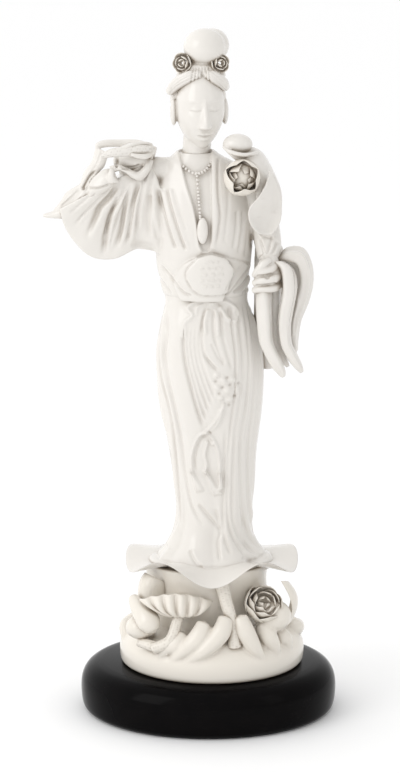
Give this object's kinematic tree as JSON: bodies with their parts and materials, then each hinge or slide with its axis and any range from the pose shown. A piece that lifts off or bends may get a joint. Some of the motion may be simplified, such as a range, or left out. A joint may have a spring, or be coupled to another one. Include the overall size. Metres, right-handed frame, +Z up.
{
  "type": "porcelain figure",
  "caption": "White glazed porcelain figure of a robed lady on a lotus leaf above waves, with its oval black lacquered wooden stand.",
  "frame": {"origin": "centre of the stand's flat underside", "axes": "+Z up, -Y is the way the figure faces, +X towards her left hand"},
  "size_m": [0.2126, 0.1682, 0.499],
  "materials": {
    "porcelain": "glossy",
    "black_lacquer": "glossy"
  },
  "bodies": {
    "root": {"porcelain_figure": "porcelain", "lacquer_stand": "black_lacquer"}
  },
  "joints": []
}
